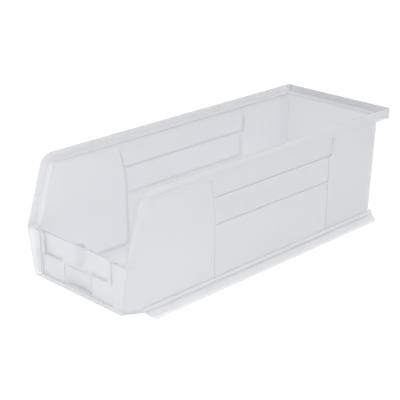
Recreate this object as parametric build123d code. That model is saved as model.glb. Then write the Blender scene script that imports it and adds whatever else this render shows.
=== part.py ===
from build123d import *
import os
from math import cos, radians, sin, tan

# A stack-and-hang storage bin with a hopper front, injection moulded in one piece of semi-clear
# polypropylene. It is modelled as the working regions of that moulding, which meet face to face.
# Lengths are in millimetres and angles in degrees. X runs across the bin, Y from the front to
# the back and Z up. While the shapes are made, Y is 0 at the front face; the last step moves the
# origin to the middle of the footprint, on the bench.

# Overall size
bin_length = 374.65
bin_width = 139.7
bin_height = 127.0

# Walls and floor
wall = 2.0
side_draft = 0.5
back_draft = 2.9
floor_thickness = 2.2
floor_level = 4.8
floor_cove = 5.0
inside_corner = 2.0
outside_corner = 3.5

# Rim: a stacking ledge outside the wall, a raised border round it and a lip that hangs down
side_overhang = 7.6
back_overhang = 8.65
border_thickness = 1.5
border_height = 7.0
ledge_thickness = 2.0
lip_depth = 11.0
slope_lip_depth = 9.5
rim_corner = 14.0
smallest_corner = 3.0

# Hopper front
mouth_height = 61.5
slope_angle = 18.0
slope_start = 0.5
front_foot = 14.3
ramp_length = 36.0
front_thickness = 2.2
front_setback = 2.5
corner_strip_width = 10.5
sill_height = 4.2
flange_thickness = 2.2

# Label guides on the front panel, which hold a card by its sides and its lower edge
guide_margin = 2.7
label_height = 20.5
guide_lip = 4.0
guide_thickness = 1.2
guide_reach = 27.0
card_gap = 1.1

# Hollow post behind the middle of the front panel
post_width = 6.8
post_depth = 5.4
post_wall = 1.5
post_foot_height = 42.0

# Finger scoop in the lower half of the front panel
scoop_width = 41.0
scoop_depth = 4.0
scoop_top = 38.0
scoop_wall = 1.8

# Stacking rails under the side walls
rail_clearance = 0.4
rail_thickness = 2.2
rail_foot = 3.2
rail_shoulder = 8.2
rail_top = 12.3
rail_shoulder_reach = 1.3
rail_nose = 10.0
rail_overrun = 3.0

# Raised lines that frame the panel on each side wall
rib_width = 2.0
rib_height = 0.8
panel_front = 118.0
panel_front_lean = 7.0
lean_start = 80.0
panel_back = 285.0
panel_top_back = 289.8
top_rib_width = 2.8
panel_top = 111.0
band_bottom = 65.0
band_top = 92.5

# Levels and faces that follow from the sizes above
rim_half = bin_width / 2
border_inner = rim_half - border_thickness
ledge_top = bin_height - border_height
ledge_bottom = ledge_top - ledge_thickness
floor_top = floor_level + floor_thickness
cove_top = floor_top + floor_cove
back_border = bin_length - border_thickness
front_inner = front_setback + front_thickness
above = bin_height + 20


def half_width(z, inset=0.0):
    """Half the width over the drafted side walls at height z, less an inset."""
    return rim_half - side_overhang - (ledge_top - z) * tan(radians(side_draft)) - inset


def back_face(z, inset=0.0):
    """Y of the drafted back wall's outer face at height z, less an inset."""
    return bin_length - back_overhang - (ledge_top - z) * tan(radians(back_draft)) - inset


def ramp(y, lift=0.0):
    """Height of the ramp's underside at y, plus a lift."""
    return front_foot - (front_foot - floor_level) * y / ramp_length + lift


def across(points, y_from, y_to):
    """A polygon of (x, z) points, extruded along Y."""
    section = Plane(origin=(0, y_from, 0), x_dir=(1, 0, 0), z_dir=(0, -1, 0))
    return extrude(section * make_face(Polyline(*points, close=True)), -(y_to - y_from))


def side_plane(x):
    """The plane at x whose own axes are Y and Z."""
    return Plane(origin=(x, 0, 0), x_dir=(0, 1, 0), z_dir=(1, 0, 0))


def along(points, x_from, x_to):
    """A polygon of (y, z) points, extruded along X."""
    return extrude(side_plane(x_from) * make_face(Polyline(*points, close=True)), x_to - x_from)


def block(x_from, x_to, y_from, y_to, z_from, z_to):
    """A box between two corners."""
    box = Box(x_to - x_from, y_to - y_from, z_to - z_from, align=Align.MIN)
    return Pos(x_from, y_from, z_from) * box


def rim_points(drop, inset, y_end):
    """Back end, corner and foot of the rim's side view, lowered by drop and set in from the slope."""
    lean = radians(slope_angle)
    foot_y = slope_start + inset / cos(lean)
    corner_y = foot_y + (bin_height - drop - mouth_height) * tan(lean)
    return (y_end, bin_height - drop), (corner_y, bin_height - drop), (foot_y, mouth_height)


def rim_line(drop, inset, y_end):
    """The rim's side view as a line with a round front corner, from the back end to the foot."""
    return FilletPolyline(*rim_points(drop, inset, y_end), radius=max(rim_corner - drop, smallest_corner))


def rim_band(outer, inner, y_end, x_from, x_to):
    """The strip between two rim lines, each given as (drop, inset), extruded along X."""
    outer_end, _, outer_foot = rim_points(*outer, y_end)
    inner_end, _, inner_foot = rim_points(*inner, y_end)
    edges = rim_line(*outer, y_end).edges() + rim_line(*inner, y_end).edges()
    edges += [Line(outer_foot, inner_foot), Line(inner_end, outer_end)]
    return extrude(side_plane(x_from) * make_face(Wire(edges)), x_to - x_from)


def mirrored(shape):
    """The same shape on the left side."""
    return mirror(shape, about=Plane.YZ)


# The tub: the outer body less the cavity, both with drafted faces
lower, upper = 0.0, above
outer_side = [(-half_width(lower), lower), (half_width(lower), lower),
              (half_width(upper), upper), (-half_width(upper), upper)]
inner_side = [(-half_width(lower, wall), lower), (half_width(lower, wall), lower),
              (half_width(upper, wall), upper), (-half_width(upper, wall), upper)]
outer_body = along([(0, front_foot), (ramp_length, floor_level), (back_face(floor_level), floor_level),
                    (back_face(ledge_top), ledge_top), (0, ledge_top)], -rim_half, rim_half)
outer_body &= across(outer_side, 0, bin_length)
outer_body = fillet(
    outer_body.edges().filter_by(lambda e: e.center().Y > bin_length - 2 * back_overhang
                                 and e.length > ledge_top / 2 and abs(e.center().X) > rim_half / 2),
    outside_corner)
cavity = along([(front_inner, ramp(front_inner, floor_thickness)), (ramp_length, floor_top),
                (back_face(floor_top, wall), floor_top), (back_face(above, wall), above),
                (front_inner, above)], -rim_half, rim_half)
cavity &= across(inner_side, 0, bin_length)
cavity = fillet(
    cavity.edges().filter_by(lambda e: e.center().Y > bin_length - 2 * back_overhang
                             and e.length > ledge_top / 2 and abs(e.center().X) > rim_half / 2),
    inside_corner)
cavity = fillet(
    cavity.edges().filter_by(lambda e: e.center().Z < cove_top and e.bounding_box().size.Z < cove_top
                             and abs(e.bounding_box().center().Y - ramp_length) > 1),
    floor_cove)
tub = outer_body - cavity
rim_side = rim_line(border_height, border_height, bin_length)
rim_foot = rim_points(border_height, border_height, bin_length)[2]
mouth_edges = rim_side.edges() + [
    Line(rim_foot, (-bin_length, mouth_height)),
    Line((-bin_length, mouth_height), (-bin_length, above)),
    Line((-bin_length, above), (bin_length, above)),
    Line((bin_length, above), (bin_length, ledge_top))]
mouth = extrude(side_plane(-bin_width) * make_face(Wire(mouth_edges)), 2 * bin_width)
tub -= mouth

# Regions of the tub
right_of_inner = across([(half_width(lower, wall), lower), (bin_width, lower), (bin_width, upper),
                         (half_width(upper, wall), upper)], -1, bin_length)
between_walls = across(inner_side, -1, bin_length)
behind_inner = along([(back_face(lower, wall), lower), (bin_length, lower), (bin_length, upper),
                      (back_face(upper, wall), upper)], -rim_half, rim_half)
corner_columns = block(-rim_half, rim_half, bin_length - back_overhang - outside_corner - wall * 2,
                       bin_length, cove_top, above)
over_ramp = along([(-1, ramp(-1, floor_thickness)), (front_inner, ramp(front_inner, floor_thickness)),
                   (front_inner, above), (-1, above)], -rim_half, rim_half)
right_side_wall = tub & right_of_inner
core = tub & between_walls
back_wall = (core & behind_inner) + ((core - behind_inner) & corner_columns)
front_wall = core & over_ramp
pan = core - behind_inner - corner_columns - over_ramp
front_ramp = pan & block(-rim_half, rim_half, -1, ramp_length, 0, above)
floor_pan = pan & block(-rim_half, rim_half, ramp_length, bin_length, 0, above)

# Front panel: set back between two corner strips and over a sill, with a scoop for the fingers
panel_half = half_width(front_foot) - corner_strip_width
sill_top = front_foot + sill_height
front_wall -= block(-panel_half, panel_half, -1, front_setback, sill_top, above)
pocket = block(panel_half + front_thickness, half_width(front_foot, wall), flange_thickness, front_inner,
               sill_top, above)
front_wall -= pocket + mirrored(pocket)
scoop_radius = (scoop_width ** 2 / 4 + scoop_depth ** 2) / (2 * scoop_depth)
scoop_centre = front_setback + scoop_depth - scoop_radius
scoop_round = Cylinder(scoop_radius, scoop_top - sill_top, align=(Align.CENTER, Align.CENTER, Align.MIN))
scoop_cut = Pos(0, scoop_centre, sill_top) * scoop_round
scoop_skin = Cylinder(scoop_radius + scoop_wall, scoop_top - sill_top + scoop_wall,
                      align=(Align.CENTER, Align.CENTER, Align.MIN))
scoop_shell = Pos(0, scoop_centre, sill_top) * scoop_skin
front_wall -= scoop_cut
finger_scoop = (scoop_shell - scoop_cut) & block(-panel_half, panel_half, front_inner, bin_length, 0, above)
finger_scoop &= cavity

# Label guides: an L-shaped web with a lip over the upright leg
card_half = panel_half - guide_margin
label_foot = mouth_height - label_height
lip_back = front_setback - card_gap
upright = block(card_half, card_half + guide_thickness, lip_back - guide_thickness, front_setback,
                label_foot - guide_thickness, mouth_height)
lip = block(card_half - guide_lip, card_half, lip_back - guide_thickness, lip_back, label_foot, mouth_height)
leg = block(card_half - guide_reach, card_half, lip_back - guide_thickness, front_setback,
            label_foot - guide_thickness, label_foot)
right_label_guide = upright + lip + leg

# Post: three thin walls that stand on the back of the front panel, closed below
post_back = front_inner + post_depth
front_post = block(-post_width / 2, post_width / 2, front_inner, post_back, post_foot_height, mouth_height)
front_post -= block(-post_width / 2 + post_wall, post_width / 2 - post_wall, front_inner,
                    post_back - post_wall, post_foot_height + post_wall, above)

# Front flange: a fin that tapers down to the foot of the front, and a web under the rim's end
fin_points = [(half_width(front_foot), front_foot), (rim_half, mouth_height),
              (half_width(mouth_height), mouth_height)]
lip_end = rim_points(lip_depth, slope_lip_depth, bin_length)[2][0]
web = across([(half_width(mouth_height - flange_thickness), mouth_height - flange_thickness),
              (rim_half - border_thickness, mouth_height - flange_thickness), (rim_half, mouth_height),
              (half_width(mouth_height), mouth_height)], flange_thickness, lip_end)
right_front_flange = across(fin_points, 0, flange_thickness) + web

# Rim: ledge, border and lip
ledge_lines = (border_height, border_height), (border_height + ledge_thickness,) * 2
ledge_ring = rim_band(*ledge_lines, back_border, -border_inner, border_inner) - outer_body
behind_wall = block(-rim_half, rim_half, back_face(ledge_top) - outside_corner, bin_length, 0, above)
back_stacking_ledge = ledge_ring & behind_wall
right_stacking_ledge = (ledge_ring - behind_wall) & block(0, rim_half, -1, bin_length, 0, above)
right_rim_lip = rim_band((0, 0), (lip_depth, slope_lip_depth), bin_length, border_inner, rim_half)
back_hang_lip = block(-border_inner, border_inner, back_border, bin_length, bin_height - lip_depth,
                      bin_height)

# Stacking rail: a flared skirt whose foot fits inside the border of the bin below. Its nose is
# cut to a slant, which leads it over the ledge.
rail_half = border_inner - rail_clearance
shoulder = half_width(rail_top) + rail_shoulder_reach
under_slant = rail_shoulder - rail_thickness * 0.6
right_stacking_rail = across(
    [(half_width(rail_top), rail_top), (shoulder, rail_top), (shoulder, rail_shoulder),
     (rail_half, rail_foot), (rail_half, 0), (rail_half - rail_thickness, 0),
     (rail_half - rail_thickness, rail_foot - rail_thickness * 0.4),
     (half_width(under_slant), under_slant)], ramp_length - rail_nose, back_face(floor_level) + rail_overrun)
right_stacking_rail -= along([(ramp_length, 0), (ramp_length - rail_nose, rail_shoulder),
                              (ramp_length - rail_nose - 1, rail_shoulder), (ramp_length - rail_nose - 1, -1),
                              (ramp_length, -1)], 0, rim_half)

# Raised lines on the side wall: two uprights and two level lines between them
def strip(low, high, width):
    """The side view of an upright strip whose middle runs between two (y, z) points."""
    half = width / 2
    return [(low[0] - half, low[1]), (low[0] + half, low[1]),
            (high[0] + half, high[1]), (high[0] - half, high[1])]


lean_top = (panel_front - panel_front_lean, panel_top)
strips = [
    strip((panel_front, rail_top), (panel_front, lean_start), rib_width),
    strip((panel_front, lean_start), lean_top, rib_width),
    strip((panel_back, rail_top), (panel_back, band_top), rib_width),
    strip((panel_top_back, band_top), (panel_top_back, panel_top), top_rib_width)]
for level, y_end in ((band_bottom, panel_back), (band_top, panel_top_back + top_rib_width / 2)):
    y_start = panel_front - panel_front_lean * max(level - lean_start, 0) / (panel_top - lean_start)
    strips.append(strip(((y_start + y_end) / 2, level - rib_width / 2),
                        ((y_start + y_end) / 2, level + rib_width / 2), y_end - y_start))
rib_layer = across([(half_width(rail_top), rail_top), (half_width(rail_top, -rib_height), rail_top),
                    (half_width(panel_top, -rib_height), panel_top), (half_width(panel_top), panel_top)],
                   0, bin_length)
prisms = [along(points, 0, rim_half) for points in strips]
right_panel_ribs = rib_layer & (prisms[0] + prisms[1:])

# One file for each region, with the origin moved to the middle of the footprint
right_parts = {
    "side_wall": right_side_wall,
    "panel_ribs": right_panel_ribs,
    "stacking_ledge": right_stacking_ledge,
    "rim_lip": right_rim_lip,
    "front_flange": right_front_flange,
    "label_guide": right_label_guide,
    "stacking_rail": right_stacking_rail,
}
parts = {
    "floor_pan": floor_pan,
    "front_ramp": front_ramp,
    "front_wall": front_wall,
    "front_post": front_post,
    "finger_scoop": finger_scoop,
    "back_wall": back_wall,
    "back_stacking_ledge": back_stacking_ledge,
    "back_hang_lip": back_hang_lip,
}
for name, shape in right_parts.items():
    parts["right_" + name] = shape
    parts["left_" + name] = mirrored(shape)

os.makedirs("parts", exist_ok=True)
for name, shape in parts.items():
    export_step(Pos(0, -bin_length / 2, 0) * shape, f"parts/{name}.step")
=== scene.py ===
"""A semi-clear, stack-and-hang storage bin with a hopper front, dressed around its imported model.

Everything is in metres, in the model's own frame: X across the bin, Y from the open front to the
back and Z up, with the origin on the bench below the middle of the bin.
"""

import logging
from dataclasses import dataclass, field
from enum import Enum
from math import acos, copysign, cos, pi, radians, sin, tan
from typing import Sequence

import bmesh
import bpy
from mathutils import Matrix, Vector


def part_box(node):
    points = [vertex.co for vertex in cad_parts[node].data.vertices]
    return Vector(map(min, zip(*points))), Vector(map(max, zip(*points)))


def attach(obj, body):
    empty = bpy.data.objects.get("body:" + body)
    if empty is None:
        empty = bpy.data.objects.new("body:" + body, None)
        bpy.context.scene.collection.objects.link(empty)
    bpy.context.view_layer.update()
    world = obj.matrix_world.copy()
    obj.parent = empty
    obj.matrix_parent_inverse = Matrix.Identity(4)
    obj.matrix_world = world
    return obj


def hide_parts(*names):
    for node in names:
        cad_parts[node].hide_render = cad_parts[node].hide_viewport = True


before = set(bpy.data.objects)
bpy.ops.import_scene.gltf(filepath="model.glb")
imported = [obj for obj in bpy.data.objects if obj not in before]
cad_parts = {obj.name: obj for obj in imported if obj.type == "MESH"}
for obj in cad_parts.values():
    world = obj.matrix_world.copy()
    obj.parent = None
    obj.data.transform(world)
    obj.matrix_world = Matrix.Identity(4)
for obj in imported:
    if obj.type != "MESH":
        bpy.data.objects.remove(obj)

MM = 0.001
# A new mesh's points nearer than SAME_POINT are one, and so are a joined mesh's nearer than WELD.
# Its faces that meet at less than LEVEL_DEGREES become one. Cuts reach CUT_HALF to either side.
SAME_POINT = 1e-7
WELD = 0.002 * MM
LEVEL_DEGREES = 0.3
CUT_HALF = 0.1
WHITE = (1, 1, 1, 1)
BODY = "root"
log = logging.getLogger("storage_bin")

Point = tuple[float, float]
Outline = list[Point]


class Side(Enum):
    """The two sides of the bin, by the sign of their X."""

    LEFT = -1
    RIGHT = 1

    @property
    def word(self) -> str:
        """The side's name, as the model's nodes have it."""
        return self.name.lower()


class Along(Enum):
    """The axis that an outline is pushed out along."""

    X = "x"
    Y = "y"
    Z = "z"

    def place(self, a: float, b: float, depth: float) -> Vector:
        """Turns a point of an outline into a point of the solid.

        Args:
            a: The outline's first coordinate.
            b: Its second coordinate.
            depth: The place along the axis.

        Returns:
            The point.
        """
        if self is Along.X:
            return Vector((depth, a, b))
        if self is Along.Y:
            return Vector((a, depth, b))
        return Vector((a, b, depth))


class Milk(Enum):
    """How milky or how darkened a stretch of the plastic looks, by its place in the moulding's list of
    finishes; the darker finish is painted shade.
    """

    BODY = 0
    # Darker tint: painted shade along the raised lines, on the post's sides and on the hanging lip's
    # outer skin.
    PAINTED_SHADE = 1
    DENSE = 2


class Merge(Enum):
    """What a second solid does to the first."""

    JOIN = "UNION"
    CUT = "DIFFERENCE"
    KEEP = "INTERSECT"


def rounded(corners: Sequence[Point], radii: Sequence[float], steps: int) -> Outline:
    """Rounds the corners of a closed outline with arcs.

    Args:
        corners: The outline's corners in order.
        radii: One radius for each corner; 0 leaves it sharp.
        steps: How many chords make each arc.

    Returns:
        The outline's points, arcs included.
    """
    points: Outline = []
    count = len(corners)
    for i, radius in enumerate(radii):
        here = Vector(corners[i])
        if radius <= 0:
            points.append((here.x, here.y))
            continue
        back = (Vector(corners[i - 1]) - here).normalized()
        ahead = (Vector(corners[(i + 1) % count]) - here).normalized()
        half = acos(max(-1.0, min(1.0, back.dot(ahead)))) / 2
        reach = radius / tan(half)
        centre = here + (back + ahead).normalized() * radius / sin(half)
        start = here + back * reach - centre
        end = here + ahead * reach - centre
        sweep = start.angle_signed(end)
        for k in range(steps + 1):
            turn = -sweep * k / steps
            c, s = cos(turn), sin(turn)
            points.append((centre.x + c * start.x - s * start.y, centre.y + s * start.x + c * start.y))
    return points


def from_faces(name: str, points: Sequence[Vector], faces: Sequence[Sequence[int]]) -> bpy.types.Object:
    """Makes a mesh object with its normals turned outwards.

    Args:
        name: The object's name.
        points: The mesh's points.
        faces: Each face as indices into the points.

    Returns:
        The new object, linked to the scene.
    """
    mesh = bpy.data.meshes.new(name)
    mesh.from_pydata([tuple(p) for p in points], [], [list(f) for f in faces])
    form = bmesh.new()
    form.from_mesh(mesh)
    bmesh.ops.remove_doubles(form, verts=form.verts, dist=SAME_POINT)
    bmesh.ops.recalc_face_normals(form, faces=form.faces)
    form.to_mesh(mesh)
    form.free()
    made = bpy.data.objects.new(name, mesh)
    bpy.context.scene.collection.objects.link(made)
    return made


def prism(name: str, outline: Outline, along: Along, low: float, high: float) -> bpy.types.Object:
    """Pushes a closed outline out along an axis.

    Args:
        name: The object's name.
        outline: The outline's points: (y, z), (x, z) or (x, y) for X, Y or Z.
        along: The axis.
        low: Where the solid starts on that axis.
        high: Where it ends.

    Returns:
        The solid.
    """
    count = len(outline)
    points = [along.place(a, b, depth) for depth in (low, high) for a, b in outline]
    faces = [list(range(count)), list(range(count, 2 * count))]
    faces += [[i, (i + 1) % count, count + (i + 1) % count, count + i] for i in range(count)]
    return from_faces(name, points, faces)


def block(name: str, low: Vector, high: Vector) -> bpy.types.Object:
    """Makes a cuboid between two corners, for cutting and joining."""
    outline = [(low[0], low[1]), (high[0], low[1]), (high[0], high[1]), (low[0], high[1])]
    return prism(name, outline, Along.Z, low[2], high[2])


def loft(name: str, rings: Sequence[Sequence[Vector]], fold: int = 0) -> bpy.types.Object:
    """Skins a stack of rings with equal numbers of points and closes both ends.

    Args:
        name: The object's name.
        rings: The rings from one end to the other.
        fold: Where the end faces fold: after this many points, and as many before the last.

    Returns:
        The closed solid.
    """
    count = len(rings[0])
    points = [p for ring in rings for p in ring]
    far = count - 1 - fold
    cap = [list(range(fold, far + 1))]
    if fold:
        cap.append([*range(fold + 1), *range(far, count)])
    last = (len(rings) - 1) * count
    faces = cap + [[last + i for i in face] for face in cap]
    for level in range(len(rings) - 1):
        low = level * count
        high = low + count
        faces += [[low + i, low + (i + 1) % count, high + (i + 1) % count, high + i]
                  for i in range(count)]
    return from_faces(name, points, faces)


def settle(piece: bpy.types.Object) -> bpy.types.Object:
    """Applies a piece's modifiers to its mesh.

    Args:
        piece: The piece.

    Returns:
        The piece with its new mesh.
    """
    bpy.context.view_layer.update()
    evaluated = piece.evaluated_get(bpy.context.evaluated_depsgraph_get())
    mesh = bpy.data.meshes.new_from_object(evaluated)
    piece.modifiers.clear()
    piece.data = mesh
    return piece


def merge(piece: bpy.types.Object, other: bpy.types.Object, how: Merge) -> bpy.types.Object:
    """Joins, cuts or keeps one solid by another, which is used up.

    Args:
        piece: The solid that stays.
        other: The solid that it is merged with.
        how: What the second solid does.

    Returns:
        The first solid with its new mesh.
    """
    step = piece.modifiers.new("merge", "BOOLEAN")
    step.operation = how.value
    step.solver = "EXACT"
    step.object = other
    settle(piece)
    bpy.data.objects.remove(other)
    return piece


def join_all(parts: Sequence[bpy.types.Object]) -> bpy.types.Object:
    """Joins a list of solids into the first of them.

    Args:
        parts: The solids; all but the first are used up.

    Returns:
        The first solid with its new mesh.
    """
    for part in parts[1:]:
        merge(parts[0], part, Merge.JOIN)
    return parts[0]


def tidy(piece: bpy.types.Object) -> bpy.types.Object:
    """Welds a piece's doubled points and joins its level faces.

    Args:
        piece: The piece.

    Returns:
        The piece.
    """
    form = bmesh.new()
    form.from_mesh(piece.data)
    bmesh.ops.remove_doubles(form, verts=form.verts, dist=WELD)
    level = radians(LEVEL_DEGREES)
    bmesh.ops.dissolve_limit(form, angle_limit=level, verts=form.verts, edges=form.edges)
    form.to_mesh(piece.data)
    form.free()
    return piece


def soften(
    piece: bpy.types.Object, radius: float, steps: int = 2, sharp: float = 35.0
) -> bpy.types.Object:
    """Rounds a piece's edges.

    Args:
        piece: The piece.
        radius: How far the rounding reaches from each edge.
        steps: How many faces go round each edge.
        sharp: The least angle between two faces, in degrees, whose edge is rounded.

    Returns:
        The piece with its new mesh.
    """
    tidy(piece)
    step = piece.modifiers.new("soften", "BEVEL")
    step.width = radius
    step.segments = steps
    step.limit_method = "ANGLE"
    step.angle_limit = radians(sharp)
    step.use_clamp_overlap = False
    step.miter_outer = "MITER_ARC"
    return settle(piece)


def shade(piece: bpy.types.Object, sharp: float = 50.0, weight: int = 100) -> bpy.types.Object:
    """Evens a piece's shading over its rounded edges and keeps it crisp at the sharp ones.

    Args:
        piece: The piece.
        sharp: The least angle between two faces, in degrees, that stays crisp.
        weight: How much more a large face counts than a small one, up to 100.

    Returns:
        The piece with its new mesh.
    """
    piece.data.shade_smooth()
    piece.data.set_sharp_from_angle(angle=radians(sharp))
    even = piece.modifiers.new("even", "WEIGHTED_NORMAL")
    even.weight = weight
    even.keep_sharp = True
    return settle(piece)


@dataclass(frozen=True)
class BinFrame:
    """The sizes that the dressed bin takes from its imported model."""

    rim_half: float
    border_inner: float
    top: float
    ledge_top: float
    ledge_bottom: float
    lip_bottom: float
    mouth: float
    front: float
    back: float
    rail_half: float
    rail_top: float
    rail_back: float
    floor_level: float
    ramp_end: float
    wall_half: float
    wall_back: float
    wall: float = 2.0 * MM
    setback: float = 2.5 * MM
    side_draft: float = 0.5
    back_draft: float = 2.9

    @classmethod
    def read(cls) -> "BinFrame":
        """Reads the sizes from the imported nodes' corners.

        Returns:
            The bin's sizes.
        """
        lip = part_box("right_rim_lip")
        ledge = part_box("back_stacking_ledge")
        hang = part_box("back_hang_lip")
        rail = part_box("right_stacking_rail")
        return cls(
            rim_half=lip[1].x,
            border_inner=lip[0].x,
            top=lip[1].z,
            ledge_top=ledge[1].z,
            ledge_bottom=ledge[0].z,
            lip_bottom=hang[0].z,
            mouth=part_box("front_wall")[1].z,
            front=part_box("right_front_flange")[0].y,
            back=hang[1].y,
            rail_half=rail[1].x,
            rail_top=rail[1].z,
            rail_back=rail[1].y,
            floor_level=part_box("floor_pan")[0].z,
            ramp_end=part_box("floor_pan")[0].y,
            wall_half=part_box("right_side_wall")[1].x,
            wall_back=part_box("back_wall")[1].y,
        )

    def half_width(self, z: float, inset: float = 0.0) -> float:
        """Half the width over the drafted side walls at a height, less an inset."""
        return self.wall_half - (self.ledge_top - z) * tan(radians(self.side_draft)) - inset

    def back_face(self, z: float, inset: float = 0.0) -> float:
        """Y of the drafted back wall's outer face at a height, less an inset."""
        return self.wall_back - (self.ledge_top - z) * tan(radians(self.back_draft)) - inset

    def from_front(self, depth: float) -> float:
        """Y of a place that lies this far behind the front."""
        return self.front + depth


@dataclass(frozen=True)
class RimLine:
    """The rim's side view: level along the bin, round at the corner and sloping down to the mouth."""

    sizes: BinFrame
    slope: float = 18.0
    start: float = 0.5 * MM
    corner: float = 14.0 * MM
    least_corner: float = 3.0 * MM
    corner_steps: int = 10
    lip_depth: float = 11.0 * MM
    slope_lip_depth: float = 9.5 * MM

    def corners(self, drop: float, inset: float, end: float) -> list[Point]:
        """Gives the line's end, corner and foot.

        Args:
            drop: How far the line lies below the rim's top.
            inset: How far it lies behind the slope.
            end: Y of its end at the back.

        Returns:
            The three points as (y, z).
        """
        lean = radians(self.slope)
        foot = self.sizes.from_front(self.start) + inset / cos(lean)
        bend = foot + (self.sizes.top - drop - self.sizes.mouth) * tan(lean)
        level = self.sizes.top - drop
        return [(end, level), (bend, level), (foot, self.sizes.mouth)]

    def points(self, drop: float, inset: float, end: float) -> Outline:
        """Gives the line with its round corner, from the end to the foot.

        Args:
            drop: How far the line lies below the rim's top.
            inset: How far it lies behind the slope.
            end: Y of its end at the back.

        Returns:
            The line's points as (y, z).
        """
        radius = max(self.corner - drop, self.least_corner)
        line = self.corners(drop, inset, end)
        closed = rounded(line + [(end, self.sizes.mouth)], [0, radius, 0, 0], self.corner_steps)
        return closed[:-1]


@dataclass(frozen=True)
class MilkyPlastic:
    """Semi-clear polypropylene: a milky body that passes blurred light, with a fine satin skin."""

    tint: tuple[float, float, float] = (0.975, 0.982, 0.998)
    streak_tint: tuple[float, float, float] = (0.982, 0.988, 1.0)
    clear: float = 0.5
    refraction: float = 1.15
    satin: tuple[float, float] = (0.20, 0.28)
    streak_scale: float = 9.0
    streak_detail: float = 4.0
    streak_stretch: tuple[float, float, float] = (3.0, 0.6, 1.0)
    streak_range: tuple[float, float] = (0.3, 0.7)
    fine_detail: float = 2.0
    cloud_scale: float = 35.0
    grain_scale: float = 1400.0
    grain_depth: float = 0.02 * MM
    grain_strength: float = 0.35

    def noise(
        self,
        tree: bpy.types.NodeTree,
        scale: float,
        detail: float,
        stretch: tuple[float, float, float] = (1.0, 1.0, 1.0),
    ) -> bpy.types.Node:
        """Adds a noise that is laid through the plastic's body.

        Args:
            tree: The material's node tree.
            scale: The noise's scale.
            detail: How many finer layers it has.
            stretch: How much faster it changes along each axis.

        Returns:
            The noise node.
        """
        place = tree.nodes.new("ShaderNodeTexCoord")
        spread = tree.nodes.new("ShaderNodeMapping")
        spread.inputs["Scale"].default_value = stretch
        made = tree.nodes.new("ShaderNodeTexNoise")
        made.inputs["Scale"].default_value = scale
        made.inputs["Detail"].default_value = detail
        tree.links.new(place.outputs["Object"], spread.inputs["Vector"])
        tree.links.new(spread.outputs["Vector"], made.inputs["Vector"])
        return made

    def material(self, name: str) -> bpy.types.Material:
        """Builds the material: faint flow streaks, a cloudy satin and a fine grain.

        Args:
            name: The material's name.

        Returns:
            The node material.
        """
        made = bpy.data.materials.new(name)
        made.use_nodes = True
        tree = made.node_tree
        shader = tree.nodes["Principled BSDF"]
        shader.inputs["IOR"].default_value = self.refraction
        shader.inputs["Transmission Weight"].default_value = self.clear
        streaks = self.noise(tree, self.streak_scale, self.streak_detail, self.streak_stretch)
        colours = tree.nodes.new("ShaderNodeValToRGB")
        first, last = colours.color_ramp.elements
        first.position, last.position = self.streak_range
        first.color = (*self.tint, 1)
        last.color = (*self.streak_tint, 1)
        tree.links.new(streaks.outputs["Fac"], colours.inputs["Fac"])
        tree.links.new(colours.outputs["Color"], shader.inputs["Base Color"])
        clouds = self.noise(tree, self.cloud_scale, self.fine_detail)
        satin = tree.nodes.new("ShaderNodeMapRange")
        for name, value in zip(("To Min", "To Max"), self.satin):
            satin.inputs[name].default_value = value
        tree.links.new(clouds.outputs["Fac"], satin.inputs["Value"])
        tree.links.new(satin.outputs["Result"], shader.inputs["Roughness"])
        grain = self.noise(tree, self.grain_scale, self.fine_detail)
        bump = tree.nodes.new("ShaderNodeBump")
        bump.inputs["Strength"].default_value = self.grain_strength
        bump.inputs["Distance"].default_value = self.grain_depth
        tree.links.new(grain.outputs["Fac"], bump.inputs["Height"])
        tree.links.new(bump.outputs["Normal"], shader.inputs["Normal"])
        return made


def dress(
    piece: bpy.types.Object, material: bpy.types.Material, nodes: Sequence[str]
) -> bpy.types.Object:
    """Gives a piece its finish, sets it on the bin's body and lets it stand for its nodes.

    Args:
        piece: The piece.
        material: Its finish.
        nodes: The model's nodes that it stands for.

    Returns:
        The piece.
    """
    piece.data.materials.clear()
    piece.data.materials.append(material)
    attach(piece, BODY)
    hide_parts(*nodes)
    log.info("%s stands for %s", piece.name, ", ".join(nodes))
    return piece


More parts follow.
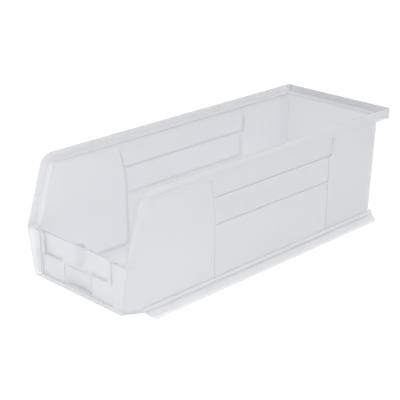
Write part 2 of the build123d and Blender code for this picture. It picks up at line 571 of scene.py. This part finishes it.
@dataclass
class Tub:
    """The bin's drafted tub with its ramp, its front panel and the finger scoop."""

    sizes: BinFrame
    line: RimLine
    floor_thickness: float = 2.2 * MM
    cove: float = 5.0 * MM
    inside_corner: float = 2.0 * MM
    outside_corner: float = 3.5 * MM
    front_foot: float = 14.3 * MM
    front_thickness: float = 2.2 * MM
    strip_width: float = 10.5 * MM
    sill_height: float = 4.2 * MM
    skin: float = 2.2 * MM
    scoop_width: float = 41.0 * MM
    scoop_depth: float = 4.0 * MM
    scoop_top: float = 38.0 * MM
    scoop_wall: float = 1.8 * MM
    scoop_margin: float = 0.5 * MM
    scoop_skin: float = 0.2 * MM
    outer_ramp_cover: float = 4.0 * MM
    inner_ramp_cover: float = 14.0 * MM
    corner_steps: int = 5
    cove_steps: int = 6
    scoop_steps: int = 24
    edge: float = 0.4 * MM
    bite: float = 0.3 * MM
    margin: float = 1.0 * MM
    clear: float = 20.0 * MM
    mouth_reach: float = 0.2

    def ramp_lift(self, y: float) -> float:
        """Gives how far the ramp has risen above the floor.

        Args:
            y: The place along the bin.

        Returns:
            The rise: 0 behind the ramp's end.
        """
        length = self.sizes.ramp_end - self.sizes.front
        share = max(0.0, min(1.0, (self.sizes.ramp_end - y) / length))
        return (self.front_foot - self.sizes.floor_level) * share

    def ring(self, z: float, inset: float, corner: float, front: float, follow: float) -> list[Vector]:
        """Gives one level of the tub's plan view, with round back corners.

        Args:
            z: The level over the flat floor.
            inset: How far the ring lies inside the outer faces.
            corner: The radius of the back corners.
            front: Y of the ring's front edge.
            follow: 1 where the ring rises with the ramp, 0 where it stays level.

        Returns:
            The ring's points.
        """
        half = self.sizes.half_width(z, inset)
        back = self.sizes.back_face(z, inset)
        bend = self.sizes.ramp_end
        lean = tan(radians(self.sizes.side_draft))
        corners = [(half, front), (half, bend), (half, back)]
        corners += [(-x, y) for x, y in corners[::-1]]
        points = []
        for x, y in rounded(corners, [0, 0, corner, corner, 0, 0], self.corner_steps):
            rise = follow * self.ramp_lift(y)
            points.append(Vector((x + copysign(rise * lean, x), y, z + rise)))
        return points

    def outer_body(self) -> bpy.types.Object:
        """Makes a solid with the tub's outer faces and the ramp below.

        Returns:
            The solid.
        """
        low, high = self.sizes.floor_level, self.sizes.ledge_top + self.clear
        middle = self.front_foot + self.outer_ramp_cover
        rings = [self.ring(low, 0, self.outside_corner, self.sizes.front, 1)]
        rings += [self.ring(z, 0, self.outside_corner, self.sizes.front, 0) for z in (middle, high)]
        return loft("bin_moulding", rings, fold=1)

    def cavity(self) -> bpy.types.Object:
        """Makes a solid of the space inside the tub, with a cove all round its floor.

        Returns:
            The solid.
        """
        floor = self.sizes.floor_level + self.floor_thickness
        front = self.sizes.from_front(self.sizes.setback + self.front_thickness)
        wall = self.sizes.wall
        rings = []
        for k in range(self.cove_steps + 1):
            turn = pi / 2 * k / self.cove_steps
            draw = self.cove * (1 - sin(turn))
            z = floor + self.cove * (1 - cos(turn))
            rings.append(self.ring(z, wall + draw, self.inside_corner, front + draw, 1))
        middle = floor + self.cove + self.inner_ramp_cover
        for z in (middle, self.sizes.ledge_top + 2 * self.clear):
            rings.append(self.ring(z, wall, self.inside_corner, front, 0))
        return loft("cavity", rings, fold=1)

    def mouth(self) -> bpy.types.Object:
        """Makes a solid of what is cut away over the rim's ledge and in front of the slope.

        Returns:
            The solid.
        """
        border = self.sizes.top - self.sizes.ledge_top
        far = self.sizes.back + 2 * self.clear
        near = self.sizes.front - 2 * self.clear
        above = self.sizes.top + 3 * self.clear
        outline = self.line.points(border, border, far)
        outline += [(near, self.sizes.mouth), (near, above), (far, above)]
        return prism("mouth", outline, Along.X, -self.mouth_reach, self.mouth_reach)

    def front_cuts(self) -> list[bpy.types.Object]:
        """Makes solids of the panel's setback and of the pockets behind the corner strips.

        Returns:
            The solids that are cut away.
        """
        s = self.sizes
        half = s.half_width(self.front_foot) - self.strip_width
        sill = self.front_foot + self.sill_height
        above = s.top + self.clear
        front, face = s.front - self.margin, s.from_front(s.setback)
        cuts = [block("setback", Vector((-half, front, sill)), Vector((half, face, above)))]
        inner = s.half_width(self.front_foot, s.wall)
        behind = s.from_front(s.setback + self.front_thickness) + self.margin
        for side in Side:
            near, far = sorted((side.value * (half + self.front_thickness), side.value * inner))
            low = Vector((near, s.from_front(self.skin), sill))
            cuts.append(block("pocket", low, Vector((far, behind, above))))
        return cuts

    def scoop(self, grow: float, rise: float) -> bpy.types.Object:
        """Makes the round body that the finger scoop is cut with, or its skin.

        Args:
            grow: How much larger in radius the body is: 0 for the cut, a wall for the skin.
            rise: How much higher it reaches.

        Returns:
            The body.
        """
        s = self.sizes
        radius = (self.scoop_width ** 2 / 4 + self.scoop_depth ** 2) / (2 * self.scoop_depth)
        centre = s.from_front(s.setback + self.scoop_depth) - radius
        large = radius + grow
        swing = acos((s.from_front(s.setback) + self.scoop_margin - centre) / large)
        turns = [swing * (2 * k / self.scoop_steps - 1) for k in range(self.scoop_steps + 1)]
        outline = [(large * sin(turn), centre + large * cos(turn)) for turn in turns]
        foot = self.front_foot + self.sill_height
        front = s.front - self.margin
        if grow:
            foot -= self.bite
            front = s.from_front(s.setback + self.scoop_skin)
        outline += [(outline[-1][0], front), (outline[0][0], front)]
        return prism("scoop", outline, Along.Z, foot, self.scoop_top + rise)

    def build(self) -> bpy.types.Object:
        """Makes the tub as one closed mesh.

        Returns:
            The tub.
        """
        tub = merge(self.outer_body(), self.cavity(), Merge.CUT)
        merge(tub, self.mouth(), Merge.CUT)
        for part in self.front_cuts():
            merge(tub, part, Merge.CUT)
        merge(tub, self.scoop(self.scoop_wall, self.scoop_wall), Merge.JOIN)
        merge(tub, self.scoop(0, 0), Merge.CUT)
        return soften(tub, self.edge)


@dataclass
class Rim:
    """The rim: its stacking ledge, the raised border and the hanging lip, in one strip round the tub."""

    sizes: BinFrame
    line: RimLine
    round_edge: float = 0.6 * MM
    small_edge: float = 0.35 * MM
    sink: float = 0.5 * MM
    pull: float = 0.15 * MM
    edge_steps: int = 3

    def section(self) -> Outline:
        """Gives the strip's section.

        Returns:
            Its points as (inwards from the rim's outer face, down from its top).
        """
        s = self.sizes
        border = s.rim_half - s.border_inner
        ledge, under = s.top - s.ledge_top, s.top - s.ledge_bottom
        reach = self.reach(s.rim_half, s.half_width(s.ledge_bottom))
        lip = self.line.lip_depth
        corners = [(0, 0), (0, lip), (border, lip), (border, under), (reach, under), (reach, ledge),
                   (border, ledge), (border, 0)]
        large, small = self.round_edge, self.small_edge
        radii = [large, small, small, small, 0, 0, small, large]
        return rounded(corners, radii, self.edge_steps)

    def reach(self, outside: float, wall_face: float) -> float:
        """How far the strip reaches inwards: to a wall's middle."""
        return outside - wall_face + self.sizes.wall / 2

    def inset(self, drop: float) -> float:
        """Gives how far a level of the strip lies behind the slope's outer face.

        Args:
            drop: How far the level lies below the rim's top.

        Returns:
            The distance.
        """
        under = self.sizes.top - self.sizes.ledge_bottom
        if drop <= under:
            return drop
        share = (drop - under) / (self.line.lip_depth - under)
        return under + (self.line.slope_lip_depth - under) * share

    def rings(self, side: Side) -> list[list[Vector]]:
        """Gives the strip's sections along one side, from the mitre at the back to the foot.

        Args:
            side: The side.

        Returns:
            The sections, each with the same number of points.
        """
        s = self.sizes
        border = s.rim_half - s.border_inner
        side_reach = self.reach(s.rim_half, s.half_width(s.ledge_bottom))
        back_reach = self.reach(s.back, s.back_face(s.ledge_bottom))
        runs = []
        for into, drop in self.section():
            deeper = max(0.0, into - border) * (back_reach - border) / (side_reach - border)
            line = self.line.points(drop, self.inset(drop), s.back - min(into, border) - deeper)
            runs.append([Vector((side.value * (s.rim_half - into), y, z)) for y, z in line])
        made = [[run[k] for run in runs] for k in range(len(runs[0]))]
        sunk = Vector((-side.value * self.pull, -self.pull, -self.sink))
        return made + [[point + sunk for point in made[-1]]]

    def build(self) -> bpy.types.Object:
        """Makes the strip, with a foot that sinks into the web below it."""
        return loft("rim", self.rings(Side.LEFT)[::-1] + self.rings(Side.RIGHT))


@dataclass
class FrontFlange:
    """The tapering fin beside the front wall and the web under the rim's foot."""

    sizes: BinFrame
    line: RimLine
    side: Side
    foot: float = 14.5 * MM
    thickness: float = 2.2 * MM
    web: float = 2.2 * MM
    edge: float = 0.3 * MM
    bite: float = 1.2 * MM
    ease: float = 0.02 * MM
    margin: float = 1.0 * MM

    def build(self) -> bpy.types.Object:
        """Makes the fin and its web as one closed mesh, then slants its outer face.

        Returns:
            The fin with its web.
        """
        s = self.sizes
        inner = s.half_width(self.foot, self.bite)
        end = self.line.corners(self.line.lip_depth, self.line.slope_lip_depth, s.back)[2][0]
        front, back = s.front + self.ease, s.front + self.thickness
        top, under = s.mouth - self.ease, s.mouth - self.web
        outline = [(front, self.foot), (back, self.foot), (back, under), (end, under), (end, top),
                   (front, top)]
        span = sorted((self.side.value * inner, self.side.value * (s.rim_half + self.margin)))
        flange = prism(f"{self.side.word}_front_flange", outline, Along.X, *span)
        lean = (s.rim_half - s.half_width(self.foot)) / (s.mouth - self.foot)
        low, high = self.foot - self.margin, s.mouth + self.margin
        beyond = s.rim_half + 2 * self.margin
        waste = [(s.rim_half - (s.mouth - low) * lean, low), (beyond, low), (beyond, high),
                 (s.rim_half + (high - s.mouth) * lean, high)]
        turned = [(self.side.value * x, z) for x, z in waste]
        cut = prism("waste", turned, Along.Y, s.front - self.margin, end + self.margin)
        merge(flange, cut, Merge.CUT)
        return soften(flange, self.edge)


@dataclass
class StackingRail:
    """The flared skirt under a side wall, whose foot seats inside the border of the bin below."""

    sizes: BinFrame
    side: Side
    thickness: float = 2.2 * MM
    foot: float = 3.2 * MM
    shoulder: float = 8.2 * MM
    shoulder_reach: float = 1.3 * MM
    nose: float = 10.0 * MM
    small_edge: float = 0.5 * MM
    small_bend: float = 0.8 * MM
    foot_bend: float = 1.6 * MM
    shoulder_share: float = 0.6
    foot_share: float = 0.4
    corner_steps: int = 4
    edge: float = 0.35 * MM
    sharp: float = 50.0
    bite: float = 1.0 * MM
    margin: float = 1.0 * MM

    def profile(self) -> Outline:
        """Gives the rail's section with its round corners.

        Returns:
            Its points as (x, z).
        """
        s = self.sizes
        root = s.half_width(s.rail_top, self.bite)
        out = s.half_width(s.rail_top) + self.shoulder_reach
        under = self.shoulder - self.thickness * self.shoulder_share
        inner = s.rail_half - self.thickness
        inner_foot = self.foot - self.thickness * self.foot_share
        corners = [(root, s.rail_top), (out, s.rail_top), (out, self.shoulder), (s.rail_half, self.foot),
                   (s.rail_half, 0.0), (inner, 0.0), (inner, inner_foot), (root, under)]
        crisp, bend = self.small_edge, self.small_bend
        radii = [0, crisp, bend, self.foot_bend, crisp, crisp, bend, 0]
        return rounded(corners, radii, self.corner_steps)

    def build(self) -> bpy.types.Object:
        """Makes the rail with its slanted nose.

        Returns:
            The rail.
        """
        s = self.sizes
        turned = [(self.side.value * x, z) for x, z in self.profile()]
        tip = s.ramp_end - self.nose
        rail = prism(f"{self.side.word}_stacking_rail", turned, Along.Y, tip, s.rail_back)
        before = tip - self.margin
        wedge = [(s.ramp_end, 0.0), (tip, self.shoulder), (before, self.shoulder),
                 (before, -self.margin), (s.ramp_end, -self.margin)]
        merge(rail, prism("wedge", wedge, Along.X, -CUT_HALF, CUT_HALF), Merge.CUT)
        return soften(rail, self.edge, sharp=self.sharp)


@dataclass
class PanelRibs:
    """The raised lines that frame the panel on a side wall."""

    sizes: BinFrame
    side: Side
    width: float = 2.0 * MM
    top_width: float = 2.8 * MM
    height: float = 0.8 * MM
    front: float = 118.0 * MM
    lean: float = 7.0 * MM
    lean_start: float = 80.0 * MM
    back: float = 285.0 * MM
    top_back: float = 289.8 * MM
    top: float = 111.0 * MM
    band: tuple[float, float] = (65.0 * MM, 92.5 * MM)
    edge: float = 0.6 * MM
    edge_steps: int = 3
    bite: float = 1.0 * MM
    clear: float = 0.05 * MM

    def strip(self, low: Point, high: Point, width: float) -> Outline:
        """Gives the side view of an upright strip between two points.

        Args:
            low: The lower point as (depth from the front, z).
            high: The upper point.
            width: The strip's width along the bin.

        Returns:
            The outline as (y, z).
        """
        half = width / 2
        (y0, z0), (y1, z1) = low, high
        y0, y1 = self.sizes.from_front(y0), self.sizes.from_front(y1)
        return [(y0 - half, z0), (y0 + half, z0), (y1 + half, z1), (y1 - half, z1)]

    def strips(self) -> list[Outline]:
        """Gives the side views of all the raised lines.

        Returns:
            One outline for each straight stretch.
        """
        base = self.sizes.rail_top - self.bite
        bend, lean_top = (self.front, self.lean_start), (self.front - self.lean, self.top)
        made = [self.strip((self.front, base), bend, self.width),
                self.strip(bend, lean_top, self.width),
                self.strip((self.back, base), (self.back, self.band[1]), self.width),
                self.strip((self.top_back, self.band[1]), (self.top_back, self.top), self.top_width)]
        for z, end in zip(self.band, (self.back, self.top_back + self.top_width / 2)):
            start = self.front - self.lean * max(z - self.lean_start, 0) / (self.top - self.lean_start)
            middle = (start + end) / 2
            half = self.width / 2
            made.append(self.strip((middle, z - half), (middle, z + half), end - start))
        return made

    def build(self) -> bpy.types.Object:
        """Makes the ribs as one closed mesh that follows the wall's draft.

        Returns:
            The ribs.
        """
        s = self.sizes
        base = s.rail_top - 2 * self.bite
        above = self.top + self.bite
        layer = [(s.half_width(base, self.bite), base), (s.half_width(base, -self.height), base),
                 (s.half_width(above, -self.height), above), (s.half_width(above, self.bite), above)]
        turned = [(self.side.value * x, z) for x, z in layer]
        skin = prism(f"{self.side.word}_panel_ribs", turned, Along.Y, s.front, s.back)
        lines = [prism("line", outline, Along.X, -CUT_HALF, CUT_HALF) for outline in self.strips()]
        merge(skin, join_all(lines), Merge.KEEP)
        return soften(skin, self.edge, self.edge_steps)

    def finish(self, moulding: bpy.types.Object) -> None:
        """Gives the raised lines' faces the darker finish: painted shade that draws them as dark lines.

        Args:
            moulding: The joined moulding.
        """
        s = self.sizes
        start = s.from_front(self.front - self.lean - self.top_width)
        for face in moulding.data.polygons:
            x, y, z = face.center
            outside = self.side.value * x > s.half_width(z, -self.clear)
            if outside and y > start and s.rail_top + self.clear < z < self.top - self.clear:
                # Painted shade: the raised lines' faces get the darker tint.
                face.material_index = Milk.PAINTED_SHADE.value


@dataclass
class LabelGuide:
    """An L-shaped guide that holds one end of a label card."""

    sizes: BinFrame
    side: Side
    card_half: float = 48.13 * MM
    height: float = 20.5 * MM
    lip: float = 4.0 * MM
    thickness: float = 1.2 * MM
    reach: float = 27.0 * MM
    gap: float = 1.1 * MM
    edge: float = 0.3 * MM
    bite: float = 0.8 * MM
    ease: float = 0.02 * MM

    def build(self) -> bpy.types.Object:
        """Makes the guide from its upright web, its lip and its level leg.

        Returns:
            The guide.
        """
        s = self.sizes
        panel = s.from_front(s.setback)
        face = panel - self.gap - self.thickness
        foot = s.mouth - self.height
        below = foot - self.thickness
        end = self.card_half + self.thickness
        behind = panel + self.bite
        top = s.mouth - self.ease
        boxes = [((self.card_half, face, below), (end, behind, top)),
                 ((self.card_half - self.lip, face, foot), (end, face + self.thickness, top)),
                 ((self.card_half - self.reach, face, below), (end, behind, foot))]
        parts = []
        for low, high in boxes:
            xs = sorted((self.side.value * low[0], self.side.value * high[0]))
            corners = Vector((xs[0], low[1], low[2])), Vector((xs[1], high[1], high[2]))
            parts.append(block(f"{self.side.word}_label_guide", *corners))
        return soften(join_all(parts), self.edge)


@dataclass
class FrontPost:
    """The small hollow post behind the middle of the front wall."""

    sizes: BinFrame
    width: float = 6.8 * MM
    depth: float = 5.4 * MM
    wall: float = 1.5 * MM
    foot: float = 42.0 * MM
    front: float = 4.7 * MM
    edge: float = 0.3 * MM
    bite: float = 0.8 * MM

    def build(self) -> bpy.types.Object:
        """Makes the post, open at its top and closed below.

        Returns:
            The post.
        """
        s = self.sizes
        near, far = s.from_front(self.front), s.from_front(self.front + self.depth)
        half = self.width / 2
        corner = Vector((-half, near - self.bite, self.foot))
        post = block("front_post", corner, Vector((half, far, s.mouth)))
        corner = Vector((-half + self.wall, near, self.foot + self.wall))
        hollow = block("hollow", corner, Vector((half - self.wall, far - self.wall, s.top)))
        return soften(merge(post, hollow, Merge.CUT), self.edge)


@dataclass(frozen=True)
class Zone:
    """A stretch of the moulding, the same on both sides, with its own finish: milkier, or darker as
    painted shade.
    """

    across: tuple[float, float]
    along: tuple[float, float]
    up: tuple[float, float]
    milk: Milk

    def finish(self, moulding: bpy.types.Object) -> None:
        """Gives the faces whose middle lies in the stretch its finish.

        Args:
            moulding: The joined moulding.
        """
        for face in moulding.data.polygons:
            place = (abs(face.center.x), face.center.y, face.center.z)
            spans = (self.across, self.along, self.up)
            if all(low < at < high for at, (low, high) in zip(place, spans)):
                face.material_index = self.milk.value


@dataclass
class Moulding:
    """The whole bin, which is one shot of plastic: every region joined into one closed skin."""

    sizes: BinFrame
    regions: tuple[str, ...] = ("floor_pan", "front_ramp", "front_wall", "finger_scoop", "front_post",
                                "back_wall", "back_stacking_ledge", "back_hang_lip")
    sided: tuple[str, ...] = ("side_wall", "panel_ribs", "stacking_ledge", "rim_lip", "front_flange",
                              "label_guide", "stacking_rail")
    rail_root: float = 3.3 * MM
    lip_skin: float = 0.35 * MM
    post_half: float = 4.0 * MM
    post_bore: float = 2.5 * MM
    post_span: tuple[float, float] = (4.5 * MM, 11.0 * MM)
    post_foot: float = 45.0 * MM
    sill_reach: float = 9.0 * MM
    sill_span: tuple[float, float] = (18.0 * MM, 19.0 * MM)

    def nodes(self) -> list[str]:
        """The model's nodes that the moulding stands for."""
        return [*self.regions, *(f"{side.word}_{name}" for side in Side for name in self.sided)]

    def parts(self) -> list[bpy.types.Object]:
        """Makes every region's mesh.

        Returns:
            The meshes, the tub first.
        """
        s = self.sizes
        line = RimLine(s)
        made = [Tub(s, line).build(), Rim(s, line).build(), FrontPost(s).build()]
        for side in Side:
            made.append(FrontFlange(s, line, side).build())
            made += [region(s, side).build() for region in (StackingRail, PanelRibs, LabelGuide)]
        return made

    def zones(self) -> list[Zone]:
        """Gives the stretches that look milkier, and those painted darker as shade.

        Returns:
            The milkier sill, rails' roots and post bore, and the post's sides and the hanging lip's
            outer skin with painted shade.
        """
        s = self.sizes
        wide = (-s.rim_half, s.rim_half)
        post = (s.front + self.post_span[0], s.front + self.post_span[1])
        tall = (self.post_foot, s.mouth + s.wall)
        beside = (s.wall_half - s.wall / 2, s.wall_half + s.wall / 2)
        root = (s.rail_top - self.rail_root, s.rail_top + s.wall / 4)
        return [Zone(wide, (s.front, s.front + self.sill_reach), self.sill_span, Milk.DENSE),
                Zone(beside, (s.front, s.rail_back), root, Milk.DENSE),
                Zone((-self.post_bore, self.post_bore), post, tall, Milk.DENSE),
                # Painted shade: the post's sides and the hanging lip's outer skin get the darker tint.
                Zone((self.post_bore, self.post_half), post, tall, Milk.PAINTED_SHADE),
                Zone(wide, (s.back - self.lip_skin, s.back + s.wall), (s.lip_bottom, s.top), Milk.PAINTED_SHADE)]

    def build(self, finishes: dict[Milk, bpy.types.Material]) -> bpy.types.Object:
        """Joins the regions and dresses the result.

        Args:
            finishes: The plastic's materials.

        Returns:
            The moulding.
        """
        parts = self.parts()
        for part in parts:
            log.info("built %s", part.name)
        moulding = shade(tidy(join_all(parts)))
        dress(moulding, finishes[Milk.BODY], self.nodes())
        for milk in (Milk.PAINTED_SHADE, Milk.DENSE):
            moulding.data.materials.append(finishes[milk])
        for zone in self.zones():
            zone.finish(moulding)
        for side in Side:
            PanelRibs(self.sizes, side).finish(moulding)
        return moulding


@dataclass(frozen=True)
class SkyGlow:
    """A broad soft glow of the room, brightest towards one way and gone at right angles to it."""

    towards: tuple[float, float, float]
    strength: float

    def socket(self, tree: bpy.types.NodeTree, way: bpy.types.NodeSocket) -> bpy.types.NodeSocket:
        """Adds the glow's nodes.

        Args:
            tree: The world's node tree.
            way: The socket that holds the direction looked at.

        Returns:
            The socket that holds the glow's strength in that direction.
        """
        facing = tree.nodes.new("ShaderNodeVectorMath")
        facing.operation = "DOT_PRODUCT"
        facing.inputs[1].default_value = self.towards
        tree.links.new(way, facing.inputs[0])
        spread = tree.nodes.new("ShaderNodeMapRange")
        spread.inputs["To Max"].default_value = self.strength
        tree.links.new(facing.outputs["Value"], spread.inputs["Value"])
        return spread.outputs["Result"]


@dataclass
class Studio:
    """The plain pale floor, the soft light and the camera."""

    eye: Vector = field(default_factory=lambda: Vector((0.70712, -0.74052, 0.45074)))
    target: Vector = field(default_factory=lambda: Vector((-0.012792, -0.0145, 0.055393)))
    focal_px: float = 1086.055
    frame_px: float = 400.0
    sensor: float = 36.0
    floor_half: float = 6.0
    floor_tone: float = 0.1
    floor_roughness: float = 0.9
    floor_glow: tuple[float, float] = (0.98, 1.29)
    glow_reach: float = 0.4
    sky_glow: float = 0.06
    glows: tuple[SkyGlow, ...] = (SkyGlow((0, 0, 1), 1.0), SkyGlow((-1, 0, 0), 0.25))
    bounces: int = 32
    brightest: float = 2.0

    def camera(self) -> None:
        """Sets the camera at the photograph's angle."""
        data = bpy.data.cameras.new("camera")
        data.sensor_fit = "HORIZONTAL"
        data.sensor_width = self.sensor
        data.lens = self.focal_px / self.frame_px * self.sensor
        eye = bpy.data.objects.new("camera", data)
        eye.location = self.eye
        eye.rotation_euler = (self.target - self.eye).to_track_quat("-Z", "Y").to_euler()
        bpy.context.scene.collection.objects.link(eye)
        bpy.context.scene.camera = eye

    def floor(self) -> None:
        """Lays the floor, flat, plain and lit from within, a little more in front of the bin."""
        half = self.floor_half
        outline = [(-half, -half), (half, -half), (half, half), (-half, half)]
        ground = from_faces("floor", [Vector((x, y, 0)) for x, y in outline], [[0, 1, 2, 3]])
        made = bpy.data.materials.new("pale_floor")
        made.use_nodes = True
        tree = made.node_tree
        shader = tree.nodes["Principled BSDF"]
        shader.inputs["Base Color"].default_value = (*[self.floor_tone] * 3, 1)
        shader.inputs["Roughness"].default_value = self.floor_roughness
        shader.inputs["Specular IOR Level"].default_value = 0.0
        shader.inputs["Emission Color"].default_value = WHITE
        place = tree.nodes.new("ShaderNodeTexCoord")
        split = tree.nodes.new("ShaderNodeSeparateXYZ")
        glow = tree.nodes.new("ShaderNodeMapRange")
        glow.inputs["From Max"].default_value = -self.glow_reach
        for name, value in zip(("To Min", "To Max"), self.floor_glow):
            glow.inputs[name].default_value = value
        tree.links.new(place.outputs["Object"], split.inputs["Vector"])
        tree.links.new(split.outputs["Y"], glow.inputs["Value"])
        tree.links.new(glow.outputs["Result"], shader.inputs["Emission Strength"])
        ground.data.materials.append(made)

    def sky(self) -> None:
        """Makes the pale room: bright overhead, softer from the left and dim elsewhere."""
        world = bpy.data.worlds.new("studio")
        world.use_nodes = True
        tree = world.node_tree
        shader = tree.nodes["Background"]
        shader.inputs["Color"].default_value = WHITE
        place = tree.nodes.new("ShaderNodeTexCoord")
        even = tree.nodes.new("ShaderNodeValue")
        even.outputs["Value"].default_value = self.sky_glow
        total = even.outputs["Value"]
        for glow in self.glows:
            both = tree.nodes.new("ShaderNodeMath")
            tree.links.new(total, both.inputs[0])
            tree.links.new(glow.socket(tree, place.outputs["Generated"]), both.inputs[1])
            total = both.outputs["Value"]
        tree.links.new(total, shader.inputs["Strength"])
        self.backdrop(tree, shader)
        bpy.context.scene.world = world

    def backdrop(self, tree: bpy.types.NodeTree, room: bpy.types.Node) -> None:
        """Shows the camera a plain pale backdrop instead of the room that lights the bin.

        Args:
            tree: The world's node tree.
            room: The room's shader.
        """
        pale = tree.nodes.new("ShaderNodeBackground")
        pale.inputs["Color"].default_value = WHITE
        seen = tree.nodes.new("ShaderNodeLightPath")
        either = tree.nodes.new("ShaderNodeMixShader")
        tree.links.new(seen.outputs["Is Camera Ray"], either.inputs["Fac"])
        tree.links.new(room.outputs["Background"], either.inputs[1])
        tree.links.new(pale.outputs["Background"], either.inputs[2])
        tree.links.new(either.outputs["Shader"], tree.nodes["World Output"].inputs["Surface"])

    def light(self) -> None:
        """Sets the light, and how often it may bounce inside the clear plastic."""
        self.sky()
        scene = bpy.context.scene
        scene.view_settings.view_transform = "Standard"
        scene.cycles.max_bounces = self.bounces
        scene.cycles.diffuse_bounces = self.bounces
        scene.cycles.glossy_bounces = self.bounces
        scene.cycles.transmission_bounces = self.bounces
        scene.cycles.sample_clamp_indirect = self.brightest

    def build(self) -> None:
        """Builds the camera, the floor and the light."""
        self.camera()
        self.floor()
        self.light()


def main() -> None:
    """Builds and dresses the bin, sub-assembly by sub-assembly."""
    logging.basicConfig(level=logging.INFO)
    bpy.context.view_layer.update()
    sizes = BinFrame.read()
    Studio().build()
    # A darker copy of the plastic, used as painted shade on the ribs, the post's sides and the hanging
    # lip.
    painted_shade_plastic = MilkyPlastic(tint=(0.89, 0.896, 0.916), streak_tint=(0.9, 0.906, 0.926), clear=0.2)
    plastics = {Milk.BODY: MilkyPlastic(), Milk.PAINTED_SHADE: painted_shade_plastic, Milk.DENSE: MilkyPlastic(clear=0.1)}
    Moulding(sizes).build({milk: made.material(f"milky_plastic_{milk.name.lower()}")
                           for milk, made in plastics.items()})


if __name__ == "__main__":
    main()
